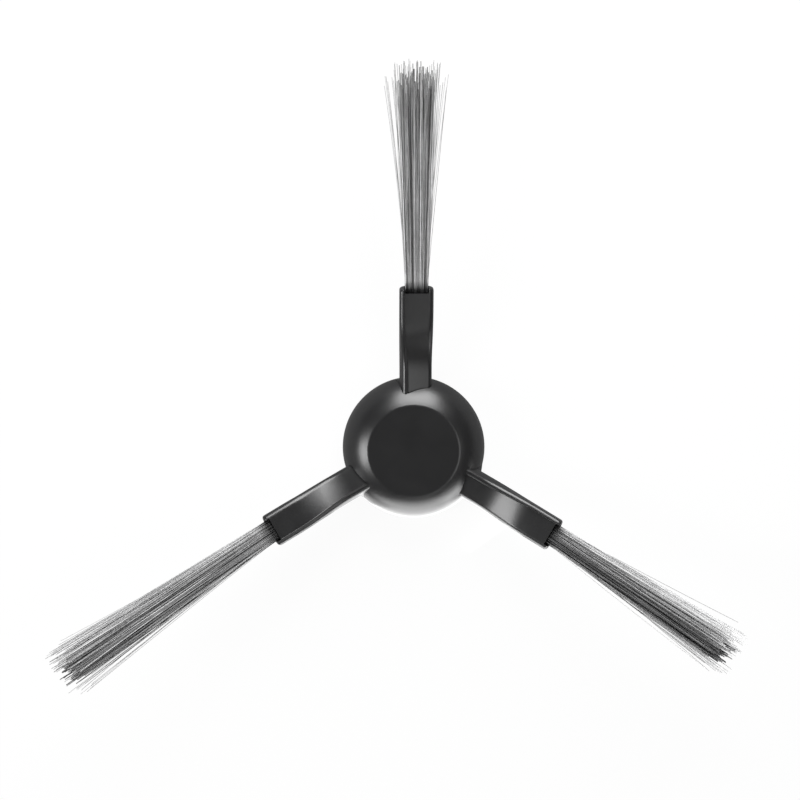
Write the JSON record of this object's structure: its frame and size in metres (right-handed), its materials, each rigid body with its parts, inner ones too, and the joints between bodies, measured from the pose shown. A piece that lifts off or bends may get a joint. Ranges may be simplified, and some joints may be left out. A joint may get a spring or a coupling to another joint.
{
  "type": "robot vacuum side brush",
  "caption": "Side brush for a robot vacuum: a domed hub with a drive socket below and soft, rolled arms that climb away from it, each ending in a fanned bristle tuft.",
  "frame": {"origin": "on the hub's axis, in the plane that the base's foot rings stand on, at the mouth of the drive socket", "axes": "+Z along the hub's axis from the base to the cap's flat, +Y along the first arm, other arms every 120 degrees anticlockwise"},
  "size_m": [0.1312, 0.1178, 0.0274],
  "materials": {
    "hub_cap": "satin gloss moulding",
    "hub_base": "fine matt moulding",
    "arm": "satin soft moulding",
    "bristle": "extruded filament"
  },
  "bodies": {
    "root": {"hub_cap": "hub_cap", "hub_base": "hub_base", "arm_1": "arm", "arm_2": "arm", "arm_3": "arm", "tuft_1": "bristle", "tuft_2": "bristle", "tuft_3": "bristle"}
  },
  "joints": []
}
